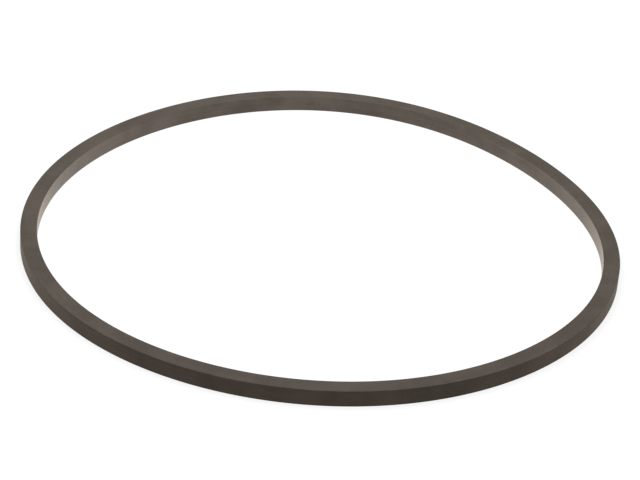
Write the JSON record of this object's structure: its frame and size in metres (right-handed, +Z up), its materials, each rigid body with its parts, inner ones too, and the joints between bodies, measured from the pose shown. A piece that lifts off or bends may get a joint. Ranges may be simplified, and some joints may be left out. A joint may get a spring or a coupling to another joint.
{
  "type": "square-section seal ring",
  "caption": "Thin endless ring of dull dark rubber with a plain square section and crisp edges, lying slightly out of round; it seals in a groove round a shaft or in a bore.",
  "frame": {"origin": "middle of the ring's outline, on the flat surface that it lies on", "axes": "+Z up, along the ring's axis and out of its upper face; +X to the right and +Y to the back of the picture"},
  "size_m": [0.128, 0.1278, 0.0035],
  "materials": {
    "rubber": "matte"
  },
  "bodies": {
    "root": {"seal_ring": "rubber"}
  },
  "joints": []
}
